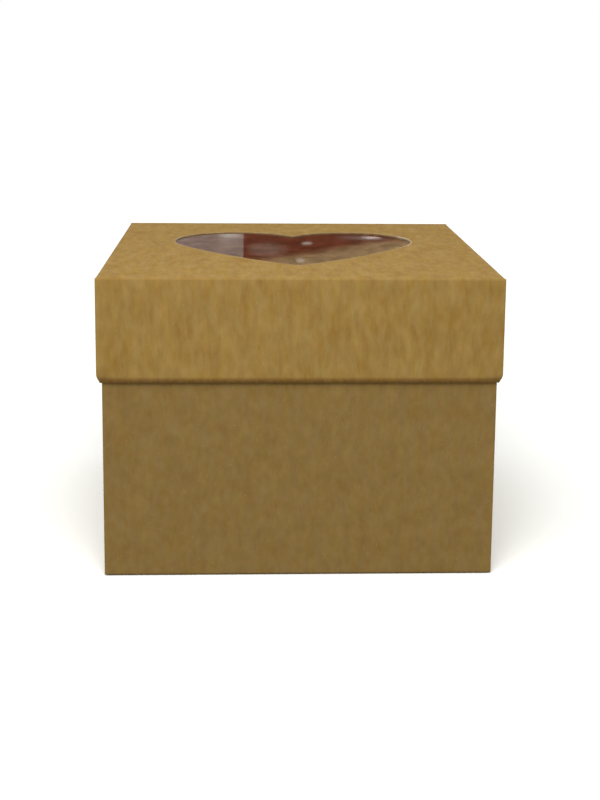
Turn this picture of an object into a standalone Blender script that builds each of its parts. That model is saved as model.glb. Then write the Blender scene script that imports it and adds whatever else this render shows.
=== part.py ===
"""Kraft gift box with a lift-off lid and a heart-shaped window, in metres with +Z up.

The base and the lid are two folded trays. Each is one die-cut blank of thin kraft board: a panel, four
walls that roll over a rim into a lining, and four corner flaps held between the layers of the front and
back walls. Every panel of a blank is its own object, with its origin on the crease that it folds about,
and the objects are parented in the order in which the blank folds. A clear film is glued under the window.

The origin of the box is the middle of its underside. The front faces -Y, and the lid lifts off along +Z.
"""

import math

import bmesh
import bpy
from mathutils import Matrix, Vector

# Board and folds
BOARD = 0.0005
LAYER_GAP = 0.0003
CREASE_RADIUS = 0.0010
RIM_NOSE = 0.0025
RIM_CHAMFER_LENGTH = 0.0030
RIM_CHAMFER_HEIGHT = 0.0040
FLAP_TAPER = 0.0040
WALL = 3 * BOARD + 2 * LAYER_GAP
FLAP_FACE = BOARD + LAYER_GAP

# Base tray
BASE_WIDTH = 0.1950
BASE_DEPTH = 0.1950
BASE_HEIGHT = 0.1512
BASE_FLAP_LENGTH = 0.0600

# Lid tray, which slips over the base with some play on every side and rests on the base's rim
LID_PLAY = 0.0004
LID_HEIGHT = 0.0524
LID_FLAP_LENGTH = 0.0440
LID_WIDTH = BASE_WIDTH + 2 * (LID_PLAY + WALL)
LID_DEPTH = BASE_DEPTH + 2 * (LID_PLAY + WALL)
BOX_HEIGHT = BASE_HEIGHT + LAYER_GAP + BOARD

# Heart window, with two round lobes at the back and its tip towards the front
WINDOW_WIDTH = 0.1360
WINDOW_DEPTH = 0.1226
WINDOW_CENTRE_Y = -0.0007
LOBE_RADIUS = 0.0363
SIDE_RADIUS = 0.2500
LOBE_STEPS = 24
SIDE_STEPS = 8

# Clear film and the glue that holds it under the window
FILM_LAP = 0.0120
FILM_THICKNESS = 0.0002
GLUE_WIDTH = 0.0080
GLUE_INSET = 0.0020
GLUE_THICKNESS = 0.0002

ARC_STEPS = 6
NOSE_STEPS = 12
CUTTER_REACH = 0.0100

# Colours as linear red, green and blue
KRAFT_TOP = (0.371, 0.238, 0.074)
KRAFT_LID_WALL = (0.323, 0.191, 0.056)
KRAFT_BASE = (0.231, 0.144, 0.046)
KRAFT_INSIDE = (0.340, 0.215, 0.070)
FILM_COLOUR = (0.150, 0.090, 0.060)
GLUE_COLOUR = (0.780, 0.740, 0.620)
BOARD_ROUGHNESS = 0.75
FILM_ROUGHNESS = 0.08
GLUE_ROUGHNESS = 0.35
FILM_ALPHA = 0.35

QUARTER_TURN = math.pi / 2
SMOOTH_ANGLE = math.radians(40)


def clear_scene():
    for old in list(bpy.data.objects):
        bpy.data.objects.remove(old, do_unlink=True)


def new_material(name, colour, roughness, alpha=1.0):
    made = bpy.data.materials.new(name)
    made.use_nodes = True
    shader = made.node_tree.nodes["Principled BSDF"]
    shader.inputs["Base Color"].default_value = (*colour, 1.0)
    shader.inputs["Roughness"].default_value = roughness
    shader.inputs["Metallic"].default_value = 0.0
    shader.inputs["Alpha"].default_value = alpha
    made.diffuse_color = (*colour, alpha)
    return made


def new_object(name, mesh, parent=None, location=(0, 0, 0), turn=0.0):
    """A named object in the scene, placed in its parent's frame and turned about Z."""
    made = bpy.data.objects.new(name, mesh)
    bpy.context.scene.collection.objects.link(made)
    made.parent = parent
    made.location = location
    made.rotation_euler = (0.0, 0.0, turn)
    return made


def new_board(name, mesh, colour, parent, location=(0, 0, 0), turn=0.0):
    """A panel of kraft board with its own finish."""
    mesh.materials.append(new_material(name + "_kraft", colour, BOARD_ROUGHNESS))
    return new_object(name, mesh, parent, location, turn)


def mesh_from(name, shape):
    mesh = bpy.data.meshes.new(name)
    shape.to_mesh(mesh)
    shape.free()
    return mesh


def block_mesh(name, low, high):
    """A block between two corners."""
    low, high = Vector(low), Vector(high)
    shape = bmesh.new()
    bmesh.ops.create_cube(shape, size=1.0)
    bmesh.ops.transform(shape, verts=shape.verts, matrix=Matrix.Diagonal((*(high - low), 1.0)))
    bmesh.ops.translate(shape, verts=shape.verts, vec=(low + high) / 2)
    return mesh_from(name, shape)


def prism_mesh(name, outline, low, high):
    """An outline of (x, y) points, filled and raised from one height to another."""
    shape = bmesh.new()
    bottom = shape.faces.new([shape.verts.new((x, y, low)) for x, y in outline])
    raised = bmesh.ops.extrude_face_region(shape, geom=[bottom])["geom"]
    top = [element for element in raised if isinstance(element, bmesh.types.BMVert)]
    bmesh.ops.translate(shape, verts=top, vec=(0, 0, high - low))
    bmesh.ops.recalc_face_normals(shape, faces=shape.faces)
    return mesh_from(name, shape)


def board_mesh(name, outer_ends, inner_ends):
    """A bent strip of board.

    Each skin is a list of (one end, other end) pairs of points, in order along the bend, and the two
    skins have as many pairs as each other.
    """
    shape = bmesh.new()
    outer = [[shape.verts.new(point) for point in pair] for pair in outer_ends]
    inner = [[shape.verts.new(point) for point in pair] for pair in inner_ends]
    for i in range(len(outer) - 1):
        here, there = outer[i] + inner[i][::-1], outer[i + 1] + inner[i + 1][::-1]
        for corner in range(4):
            after = (corner + 1) % 4
            shape.faces.new((here[corner], here[after], there[after], there[corner]))
    for i in (0, -1):
        shape.faces.new(outer[i] + inner[i][::-1])
    bmesh.ops.recalc_face_normals(shape, faces=shape.faces)
    mesh = mesh_from(name, shape)
    mesh.shade_smooth()
    mesh.set_sharp_from_angle(angle=SMOOTH_ANGLE)
    return mesh


def arc(centre, radii, start, end, steps):
    """Points along an ellipse's arc, both ends included."""
    angles = [start + (end - start) * step / steps for step in range(steps + 1)]
    return [(centre[0] + radii[0] * math.cos(a), centre[1] + radii[1] * math.sin(a)) for a in angles]


def crease(board_depth, start, end):
    """The bend of one skin, which lies this deep in the board, about (CREASE_RADIUS, CREASE_RADIUS)."""
    radius = CREASE_RADIUS - board_depth
    return arc((CREASE_RADIUS, CREASE_RADIUS), (radius, radius), start, end, ARC_STEPS)


def wall_mesh(name, height, half_length):
    """An outer wall with its crease below and the rim nose that rolls inward above.

    Points are (inward from the outer face, up from the panel's outer face), and half_length says how far
    the wall reaches to either side of its middle there.
    """
    skins = []
    for board_depth in (0.0, BOARD):
        nose_radii = (WALL / 2 - board_depth, RIM_NOSE - board_depth)
        nose = arc((WALL / 2, height - RIM_NOSE), nose_radii, 2 * QUARTER_TURN, 0.0, NOSE_STEPS)
        bend = crease(board_depth, 3 * QUARTER_TURN, 2 * QUARTER_TURN)
        profile = bend + [(board_depth, height - RIM_CHAMFER_HEIGHT)] + nose
        skin = []
        for inward, up in profile:
            reach = half_length(inward, up)
            y, z = inward - CREASE_RADIUS, up - CREASE_RADIUS
            skin.append(((-reach, y, z), (reach, y, z)))
        skins.append(skin)
    return board_mesh(name, *skins)


def chamfer_cut(height, up):
    """How much the cut corner of a rim shortens a wall at this height."""
    above = max(0.0, up - (height - RIM_CHAMFER_HEIGHT))
    return RIM_CHAMFER_LENGTH * above / RIM_CHAMFER_HEIGHT


def cover_wall_mesh(name, length, height):
    """A front or back wall, which runs the full width and covers the corner flaps."""

    def half_length(inward, up):
        mitre = max(0.0, inward - BOARD)
        return length / 2 - max(mitre, chamfer_cut(height, up))

    return wall_mesh(name, height, half_length)


def hinge_wall_mesh(name, length, height):
    """A side wall, which stops short of each corner, where a flap bends away from it."""
    flap_start = FLAP_FACE + CREASE_RADIUS + LAYER_GAP
    mitre_gap = LAYER_GAP * math.sqrt(2)

    def half_length(inward, up):
        mitre = inward + BOARD + mitre_gap
        return length / 2 - max(flap_start, mitre, chamfer_cut(height, up))

    return wall_mesh(name, height, half_length)


def flap_mesh(name, flap_length, height, hand):
    """A corner flap with its upright crease, for the side wall's +X end if hand is 1 and -X end if -1."""
    low = FLAP_FACE
    high = height - RIM_CHAMFER_HEIGHT - LAYER_GAP
    skins = []
    for board_depth in (0.0, BOARD):
        bend = crease(board_depth, 2 * QUARTER_TURN, 3 * QUARTER_TURN)
        skin = []
        for inward, behind in bend + [(flap_length, board_depth)]:
            taper = FLAP_TAPER if inward == flap_length else 0.0
            x, y = hand * (CREASE_RADIUS - behind), inward - CREASE_RADIUS
            skin.append(((x, y, low + taper - CREASE_RADIUS), (x, y, high - taper - CREASE_RADIUS)))
        skins.append(skin)
    return board_mesh(name, *skins)


def add_lining(name, wall, half_length, height, colour):
    """The inner layer of a wall, which hangs from the rim. Its origin is on the rim's roll."""
    rim_inward = WALL / 2 - CREASE_RADIUS
    rim_up = height - RIM_NOSE - CREASE_RADIUS
    drop = height - RIM_NOSE - FLAP_FACE
    low = (-half_length, WALL / 2 - BOARD, -drop)
    high = (half_length, WALL / 2, -LAYER_GAP)
    new_board(name, block_mesh(name, low, high), colour, wall, (0, rim_inward, rim_up))


def add_tray(tray, root, size, flap_length, panel_name, sides, colours):
    """A folded tray, open along its own +Z. Sides names its walls, anticlockwise from the one at -Y."""
    width, depth, height = size
    panel_colour, wall_colour, lining_colour = colours
    margin = CREASE_RADIUS + LAYER_GAP
    low = (margin - width / 2, margin - depth / 2, 0)
    high = (width / 2 - margin, depth / 2 - margin, BOARD)
    panel = new_board(panel_name, block_mesh(panel_name, low, high), panel_colour, root)
    for quarter, side in enumerate(sides):
        covers = quarter % 2 == 0
        length, across = (width, depth) if covers else (depth, width)
        turn = quarter * QUARTER_TURN
        foot = Vector((0, CREASE_RADIUS - across / 2, CREASE_RADIUS))
        foot.rotate(Matrix.Rotation(turn, 3, "Z"))
        name = f"{tray}_{side}_wall"
        mesh = (cover_wall_mesh if covers else hinge_wall_mesh)(name, length, height)
        wall = new_board(name, mesh, wall_colour, panel, foot, turn)
        lining_inset = WALL + LAYER_GAP if covers else WALL - BOARD
        add_lining(f"{tray}_{side}_lining", wall, length / 2 - lining_inset, height, lining_colour)
        if covers:
            continue
        for hand, neighbour in ((1, sides[(quarter + 1) % 4]), (-1, sides[quarter - 1])):
            name = f"{tray}_{neighbour}_{side}_flap"
            corner = (hand * (length / 2 - FLAP_FACE - CREASE_RADIUS), 0, 0)
            new_board(name, flap_mesh(name, flap_length, height, hand), lining_colour, wall, corner)
    return panel


def heart_outline():
    """The window as (x, y) points: from the cleft round the right lobe to the tip, and back on the left."""
    back = WINDOW_CENTRE_Y + WINDOW_DEPTH / 2
    tip = Vector((0, WINDOW_CENTRE_Y - WINDOW_DEPTH / 2))
    lobe = Vector((WINDOW_WIDTH / 2 - LOBE_RADIUS, back - LOBE_RADIUS))
    # The centre of the side's arc lies on the line square to the middle of the run from lobe to tip
    run = tip - lobe
    along = (run.length_squared + (SIDE_RADIUS - LOBE_RADIUS) ** 2 - SIDE_RADIUS**2) / (2 * run.length)
    off = math.sqrt((SIDE_RADIUS - LOBE_RADIUS) ** 2 - along**2)
    direction = run.normalized()
    side = lobe + direction * along + Vector((direction.y, -direction.x)) * off
    joint = side + (lobe - side).normalized() * SIDE_RADIUS
    cleft_angle = math.acos(-lobe.x / LOBE_RADIUS)
    joint_angle = math.atan2(joint.y - lobe.y, joint.x - lobe.x)
    lobe_arc = arc(lobe, (LOBE_RADIUS, LOBE_RADIUS), cleft_angle, joint_angle, LOBE_STEPS)
    start, end = (math.atan2(point.y - side.y, point.x - side.x) for point in (joint, tip))
    side_arc = arc(side, (SIDE_RADIUS, SIDE_RADIUS), start, end, SIDE_STEPS)
    right = lobe_arc + side_arc[1:]
    return right + [(-x, y) for x, y in right[-2:0:-1]]


def cut(target, cutter_mesh):
    """Cuts a shape out of a panel. The cutter lies in the panel's own frame."""
    cutter = new_object(target.name + "_cutter", cutter_mesh, target)
    cutter.hide_render = True
    cutter.display_type = "WIRE"
    boolean = target.modifiers.new("opening", "BOOLEAN")
    boolean.operation = "DIFFERENCE"
    boolean.solver = "EXACT"
    boolean.object = cutter


def add_window(top_panel):
    """The heart cut out of the lid's top, the glue under its margin, and the clear film."""
    outline = heart_outline()
    cut(top_panel, prism_mesh("heart", outline, -CUTTER_REACH, BOARD + CUTTER_REACH))
    half_width = WINDOW_WIDTH / 2 + FILM_LAP
    half_depth = WINDOW_DEPTH / 2 + FILM_LAP

    def sheet(name, inset, low, high):
        near = (inset - half_width, WINDOW_CENTRE_Y - half_depth + inset, low)
        far = (half_width - inset, WINDOW_CENTRE_Y + half_depth - inset, high)
        return block_mesh(name, near, far)

    glue_low = BOARD + LAYER_GAP
    glue_high = glue_low + GLUE_THICKNESS
    glue_mesh = sheet("window_glue", GLUE_INSET, glue_low, glue_high)
    glue_mesh.materials.append(new_material("dry_glue", GLUE_COLOUR, GLUE_ROUGHNESS))
    glue = new_object("window_glue", glue_mesh, top_panel)
    cut(glue, sheet("glue_opening", GLUE_INSET + GLUE_WIDTH, -CUTTER_REACH, CUTTER_REACH))

    film_low = glue_high + LAYER_GAP
    film_mesh = sheet("window_film", 0.0, film_low, film_low + FILM_THICKNESS)
    film_mesh.materials.append(new_material("clear_film", FILM_COLOUR, FILM_ROUGHNESS, FILM_ALPHA))
    new_object("window_film", film_mesh, top_panel)


def build():
    clear_scene()
    base = new_object("base", None)
    base_size = (BASE_WIDTH, BASE_DEPTH, BASE_HEIGHT)
    base_colours = (KRAFT_BASE, KRAFT_BASE, KRAFT_INSIDE)
    base_sides = ("front", "right", "back", "left")
    add_tray("base", base, base_size, BASE_FLAP_LENGTH, "base_floor", base_sides, base_colours)

    # The lid is a tray turned upside down about Y, which swaps its left and right
    lid = new_object("lid", None, location=(0, 0, BOX_HEIGHT))
    lid.rotation_euler = (0.0, math.pi, 0.0)
    lid_size = (LID_WIDTH, LID_DEPTH, LID_HEIGHT)
    lid_colours = (KRAFT_TOP, KRAFT_LID_WALL, KRAFT_INSIDE)
    lid_sides = ("front", "left", "back", "right")
    top = add_tray("lid", lid, lid_size, LID_FLAP_LENGTH, "lid_top_panel", lid_sides, lid_colours)
    add_window(top)


build()
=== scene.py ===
"""Looks of the kraft gift box: two folded board trays, the clear film under the heart window, its glue,
the paper fibres in the board, and the studio round it. Everything is in metres, in the CAD model's frame.
"""

import math

import bmesh
import bpy
from mathutils import Matrix, Vector, noise
from mathutils.geometry import delaunay_2d_cdt


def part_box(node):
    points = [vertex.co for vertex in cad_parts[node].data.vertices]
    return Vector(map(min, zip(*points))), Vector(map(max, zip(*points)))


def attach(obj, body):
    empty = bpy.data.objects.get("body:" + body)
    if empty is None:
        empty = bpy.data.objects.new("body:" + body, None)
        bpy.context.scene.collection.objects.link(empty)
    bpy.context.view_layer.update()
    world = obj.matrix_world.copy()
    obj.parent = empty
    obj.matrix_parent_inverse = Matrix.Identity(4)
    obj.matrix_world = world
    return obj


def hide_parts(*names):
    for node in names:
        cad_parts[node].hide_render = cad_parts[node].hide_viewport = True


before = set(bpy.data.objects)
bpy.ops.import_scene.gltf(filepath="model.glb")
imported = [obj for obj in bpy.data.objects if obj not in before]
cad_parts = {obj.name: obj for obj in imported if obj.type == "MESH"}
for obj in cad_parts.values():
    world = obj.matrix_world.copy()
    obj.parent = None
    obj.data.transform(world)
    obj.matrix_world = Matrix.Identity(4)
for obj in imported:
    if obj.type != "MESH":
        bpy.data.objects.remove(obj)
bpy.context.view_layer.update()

QUARTER_TURN = math.pi / 2

# Board and folds, as in the CAD model
LAYER_GAP = 0.0003
CREASE_RADIUS = 0.0010
FLAP_TAPER = 0.0040
FLOOR_LOW, FLOOR_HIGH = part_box("base_floor")
TOP_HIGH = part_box("lid_top_panel")[1]
BOARD = FLOOR_HIGH.z - FLOOR_LOW.z
WALL_LOW, WALL_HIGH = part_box("lid_front_wall")
WALL = WALL_HIGH.y - WALL_LOW.y
FLAP_FACE = BOARD + LAYER_GAP
MITRE_SLIT = 0.00015
LID_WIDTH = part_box("lid_right_wall")[1].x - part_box("lid_left_wall")[0].x
LID_HEIGHT = TOP_HIGH.z - WALL_LOW.z
LID_FLAP_LENGTH = 0.0440
BASE_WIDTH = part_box("base_right_wall")[1].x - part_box("base_left_wall")[0].x
BASE_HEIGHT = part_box("base_front_wall")[1].z
BASE_FLAP_LENGTH = 0.0600

# Heart window, as in the CAD model
WINDOW_WIDTH = 0.1360
WINDOW_DEPTH = 0.1226
WINDOW_CENTRE_Y = -0.0007
LOBE_RADIUS = 0.0363
SIDE_RADIUS = 0.2500
LOBE_STEPS = 96
SIDE_STEPS = 60

# Meshes of the boards: their grid, what counts as one vertex or as one point, and where an edge is sharp
GRID = 0.0045
EDGE_CLEARANCE = 0.0050
SAME_PLACE = 0.00001
SAME_POINT = 1e-7
PLACES_PER_METRE = 1e6
SHARP_ANGLE = math.radians(40)

# Creases and rolled rims, and how far the rims are pressed flatter towards the corners
CREASE_STEPS = 8
# A crease's share of the worn tint, which is wear and painted shade; a rolled rim gets 1
CREASE_WEAR_AND_SHADE = 0.20
ROLL_STEPS = 18
ROLL_LENGTH = 0.0034
ROLL_TIP_RADIUS = 0.00065
RIM_HEIGHT = 0.0045
TUCK = 0.46
TUCK_LENGTH = 0.0150
TUCK_HEIGHT = 0.0048

# How far the sheets bow and waver from flat, and where in the noise each tray is read
LID_BOW = 0.00015
BASE_BOW = 0.00015
WAVER = 0.00008
WAVER_LENGTH = 0.045
PANEL_BOW = 0.00006
PANEL_WAVER = 0.00002
PANEL_WAVER_LENGTH = 0.070
LID_SEED = 1.0
BASE_SEED = 5.0

# Film. A wave is its height, its span across and back, and its layer of the noise.
FILM_GRID = 0.0016
FILM_THICKNESS = 0.00005
FILM_SAG = 0.00003
FILM_WAVE = (0.00002, 0.055, 0.075, 3.0)
FILM_RIPPLE = (0.000004, 0.014, 0.030, 8.0)
FILM_SLACK = 1.6

# Glue, and the raised edge of the cut
GLUE_REACH = 0.0100
GLUE_WIDTH = 0.0080
GLUE_HEIGHT = 0.00003
GLUE_CORNER = 0.0060
GLUE_CORNER_STEPS = 6
GLUE_UNEVENNESS = 0.25
GLUE_LUMP_LENGTH = 0.012
LIP_WIDTH = 0.00045
LIP_HEIGHT = 0.00026
LIP_SET_BACK = 0.4
LIP_UNEVENNESS = 0.9
LIP_LUMP_LENGTH = 0.0016
LUMP_DETAIL = 2.0
BEAD_SIDES = 10

# Loose fibres, which lie only where the board is flat
FIBRE_DENSITY = 30000.0
FIBRE_LENGTH = 0.0017
FIBRE_WIDTH = 0.00010
FIBRE_FLATNESS = 0.35
FIBRE_SIDES = 4
FIBRE_SMALLEST = (0.4, 0.6, 0.8)
FIBRE_LARGEST = (1.6, 1.3, 1.2)
LID_FIBRE_SEED = 11
BASE_FIBRE_SEED = 23
FLAT_ANGLE = math.radians(3)
FLAT_ENOUGH = 0.75

# Kraft board. Colours are in linear light, and a tint multiplies a colour.
LID_COLOUR = (0.336, 0.2045, 0.055)
# The base's colour is partly its own duller board and partly painted shade, darker than the lid for the less
# light it gets
BASE_COLOUR_WITH_PAINTED_SHADE = (0.258, 0.160, 0.0490)
LID_CONTRAST = 0.70
BASE_CONTRAST = 0.45
LID_STREAKS = (0.0100, 0.0200)
BASE_STREAKS = (0.0062, 0.0120)
LID_PATTERN_PLACE = (0.0, 0.0, 0.0)
BASE_PATTERN_PLACE = (0.37, 0.61, 0.0)
KRAFT_SWING = (0.30, 0.42, 0.76)
KRAFT_SHARES = (0.95, 0.80, 0.32, 0.22)
KRAFT_OLIVE = (0.985, 1.012, 1.0)
KRAFT_RUST = (1.015, 0.988, 1.0)
KRAFT_GREY = (0.98, 0.98, 1.07)
KRAFT_ORANGE = (1.02, 1.01, 0.93)
DARK_FLECK_TINT = (0.42, 0.36, 0.34)
PALE_FLECK_TINT = (1.35, 1.42, 1.75)
# The worn tint is wear and painted shade: it darkens and reddens the folds, most of all the rolled rims where
# they turn under.
WORN_AND_SHADED_TINT = (0.50, 0.37, 0.28)
KRAFT_SPECULAR = 0.12
KRAFT_BUMP = 0.35
KRAFT_RELIEF = 0.00012
FIBRE_RELIEF_SHARE = 0.5
FINE_RELIEF_SHARE = 0.8

# The kraft's pattern. A grain is its width across the fibres, its length along them, its levels of detail and
# its place in the noise.
NOISE_MIDDLE = 0.5
GRAIN_ROUGHNESS = 0.55
STREAK_WIDTH = 0.0036
STREAK_DETAIL = 1.5
STREAK_PLACE = (0.0, 0.0, 4.2)
CLOUD_WIDTH = 0.0120
CLOUD_DETAIL = 2.0
CLOUD_PLACE = (0.0, 5.9, 0.0)
FINE_GRAIN = (0.0011, 0.0045, 2.0, (1.3, 0.0, 0.0))
FIBRE_GRAIN = (0.00016, 0.0014, 2.0, (0.0, 0.0, 0.0))
HUE_GRAIN = (0.0045, 0.0180, 2.0, (3.1, 0.0, 0.0))
RUST_GRAIN = (0.0030, 0.0060, 2.0, (0.0, 8.8, 0.0))
FLECK_GRAIN = (0.00035, 0.0011, 1.0, (9.4, 2.2, 0.0))

# Runs from a noise: its lowest and highest value, and what these two become
MOTTLE_RUN = (0.36, 0.64)
DARK_FLECK_RUN = (0.70, 0.78, 0.0, 0.55)
PALE_FLECK_RUN = (0.30, 0.23, 0.0, 0.45)
WORN_AND_SHADED_RUN = (0.35, 0.65, 0.55, 0.85)
KRAFT_ROUGHNESS_RUN = (0.3, 0.7, 0.86, 0.70)
FILM_ROUGHNESS_RUN = (0.3, 0.7, 0.008, 0.022)
GLUE_RUN = (0.35, 0.65)
GLUE_ROUGHNESS_RUN = (0.3, 0.7, 0.38, 0.62)
CLUTTER_RUN = (0.25, 0.75, 0.72, 1.28)
SMEAR_RUN = (0.30, 0.70, 0.84, 1.16)

# Cut edges, paler between these distances from the middle, most on the right. A speckle is its spots to the
# metre and its levels of detail.
CUT_COLOUR = (0.460, 0.285, 0.125)
LIP_COLOUR = (0.440, 0.300, 0.140)
CUT_DARK_TINT = (0.80, 0.76, 0.70)
CUT_PALE_TINT = (1.14, 1.16, 1.24)
CUT_FUZZ = (2600.0, 3.0)
CUT_PLIES = (260.0, 2.0)
CUT_FUZZ_SHARE = 0.6
CUT_ROUGHNESS = 0.92
CUT_SPECULAR = 0.15
CUT_BUMP = 0.5
CUT_RELIEF = 0.0001
PALE_EDGE_COLOUR = (0.760, 0.610, 0.420)
PALE_EDGE_START = 0.057
PALE_EDGE_FULL = 0.067
PALE_EDGE_END = 0.078
PALE_EDGE_LEFT = 0.45

# Finishes of the fibres, the film and the glue
FIBRE_DARK = (0.110, 0.055, 0.022)
FIBRE_PALE = (0.520, 0.370, 0.160)
FIBRE_ROUGHNESS = 0.85
FIBRE_SPECULAR = 0.2
FILM_HAZE = (45.0, 3.0)
FILM_SHINE = (0.92, 0.92, 0.93)
FILM_CLEAR = (0.98, 0.98, 0.975)
FILM_GRAZING_SHARE = 0.935
FILM_FACING_SHARE = 0.035
FRESNEL_POWER = 5.0
GLUE_BLOTCHES = (320.0, 3.0)
GLUE_YELLOWED = (0.56, 0.47, 0.30)
GLUE_MILKY = (0.70, 0.64, 0.50)
GLUE_BUMP = 0.4
GLUE_RELIEF = 0.0002

# Studio
FLOOR_SIZE = 8.0
FLOOR_HEIGHT = -0.0004
FLOOR_BOUNCE = 0.47
FLOOR_WHITE = 1.24
FILL_STRENGTH = 0.46
KEY_STRENGTH = 1.60
KEY_TINT = (1.0, 1.02, 0.95)
KEY_SOFTNESS = math.radians(44)
KEY_RISE = math.radians(54.5)
KEY_TURN = math.radians(5)
NEAR_PLACE = (-0.06, -0.30, 0.42)
NEAR_AIM = (0.0, -0.05, 0.15)
NEAR_SIZE = 0.20
NEAR_POWER = 0.45

# What the film mirrors: a painted reflection, with glowing ovals as painted highlights. An oval or a patch is
# its place across and up, its half width and half height, and its colour.
ROOM_DISTANCE = 2.0
ROOM_HALF_WIDTH = 0.9
ROOM_LOW = 0.1
ROOM_HIGH = 0.9
ROOM_WALL = (0.495, 0.345, 0.280)
ROOM_RED = (0.256, 0.071, 0.037)
ROOM_TAN = (0.596, 0.380, 0.190)
WALL_CORNER = -0.037
TAN_SLOPE = 0.132
TAN_START = 0.475
TAN_FULL = 0.494
CLUTTER_SCALE = (22.0, 1.0, 130.0)
CLUTTER_DETAIL = 5.0
SMEAR_SCALE = (36.0, 1.0, 190.0)
SMEAR_DETAIL = 3.0
SMEAR_SLANT = math.radians(28)
OVAL_EDGE = 1.0
OVAL_CORE = 0.25
ROOM_PATCHES = (
    (0.0120, 0.4630, 0.0560, 0.0190, (0.40, 0.215, 0.155)),
    (-0.0620, 0.4430, 0.0340, 0.0150, (0.640, 0.465, 0.390)),
)
ROOM_HIGHLIGHTS = (
    (0.2150, 0.4442, 0.0760, 0.0050, (0.40, 0.25, 0.21)),
    (-0.0670, 0.4368, 0.0300, 0.0098, (0.88, 0.76, 0.66)),
    (0.0965, 0.4508, 0.0165, 0.0035, (0.80, 0.61, 0.52)),
    (0.0832, 0.4834, 0.0140, 0.0033, (1.10, 0.84, 0.66)),
    (0.2300, 0.4420, 0.0280, 0.0026, (1.50, 1.25, 1.08)),
)

# Camera of the photograph
CAMERA_PLACE = (-0.02568, -0.72824, 0.26430)
CAMERA_YAW = math.radians(2.257)
CAMERA_PITCH = math.radians(9.140)
CAMERA_ROLL = math.radians(0.520)
CAMERA_LENS = 59.25
CAMERA_SENSOR = 36.0
CAMERA_NEAREST = 0.01
CAMERA_SHIFT_Y = -0.18


def arc(centre, radii, start, end, steps):
    """Points along an ellipse's arc, both ends included."""
    angles = [start + (end - start) * step / steps for step in range(steps + 1)]
    return [(centre[0] + radii[0] * math.cos(a), centre[1] + radii[1] * math.sin(a)) for a in angles]


def spread(low, high, spacing):
    """Even values from low to high, both included, about this far apart."""
    count = max(1, round((high - low) / spacing))
    return [low + (high - low) * i / count for i in range(count + 1)]


def heart_outline():
    """The window as (x, y) points: from the cleft round the right lobe to the tip, and back on the left."""
    back = WINDOW_CENTRE_Y + WINDOW_DEPTH / 2
    tip = Vector((0, WINDOW_CENTRE_Y - WINDOW_DEPTH / 2))
    lobe = Vector((WINDOW_WIDTH / 2 - LOBE_RADIUS, back - LOBE_RADIUS))
    run = tip - lobe
    along = (run.length_squared + (SIDE_RADIUS - LOBE_RADIUS) ** 2 - SIDE_RADIUS**2) / (2 * run.length)
    off = math.sqrt((SIDE_RADIUS - LOBE_RADIUS) ** 2 - along**2)
    direction = run.normalized()
    side = lobe + direction * along + Vector((direction.y, -direction.x)) * off
    joint = side + (lobe - side).normalized() * SIDE_RADIUS
    cleft_angle = math.acos(-lobe.x / LOBE_RADIUS)
    joint_angle = math.atan2(joint.y - lobe.y, joint.x - lobe.x)
    lobe_arc = arc(lobe, (LOBE_RADIUS, LOBE_RADIUS), cleft_angle, joint_angle, LOBE_STEPS)
    start, end = (math.atan2(point.y - side.y, point.x - side.x) for point in (joint, tip))
    side_arc = arc(side, (SIDE_RADIUS, SIDE_RADIUS), start, end, SIDE_STEPS)
    right = lobe_arc + side_arc[1:]
    return right + [(-x, y) for x, y in right[-2:0:-1]]


def eased(value):
    """The value held between 0 and 1, with a smooth start and end."""
    held = max(0.0, min(1.0, value))
    return held * held * (3 - 2 * held)


def crease_wear_and_shade(step):
    """The worn tint, wear and painted shade, at this step of a crease, where a rolled rim gets 1."""
    return CREASE_WEAR_AND_SHADE * math.sin(math.pi * min(step, CREASE_STEPS) / CREASE_STEPS)


def inside(outline, x, y):
    """Whether a point lies within a closed outline."""
    found = False
    for (x0, y0), (x1, y1) in zip(outline, outline[1:] + outline[:1]):
        if (y0 > y) != (y1 > y) and x < x0 + (x1 - x0) * (y - y0) / (y1 - y0):
            found = not found
    return found


def finished(obj):
    """The object's mesh with its modifiers applied, in place of the object's own."""
    graph = bpy.context.evaluated_depsgraph_get()
    mesh = bpy.data.meshes.new_from_object(obj.evaluated_get(graph))
    obj.modifiers.clear()
    obj.data = mesh
    return obj


def upright(x, y, up):
    """A place in the base tray, as the tray stands."""
    return (x, y, up)


def turned_over(x, y, up):
    """A place in the lid tray, which is folded like the base and then turned upside down."""
    return (-x, y, TOP_HIGH.z - up)


def new_piece(name, mesh, *materials):
    piece = bpy.data.objects.new(name, mesh)
    bpy.context.scene.collection.objects.link(piece)
    for material in materials:
        mesh.materials.append(material)
    return piece


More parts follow.
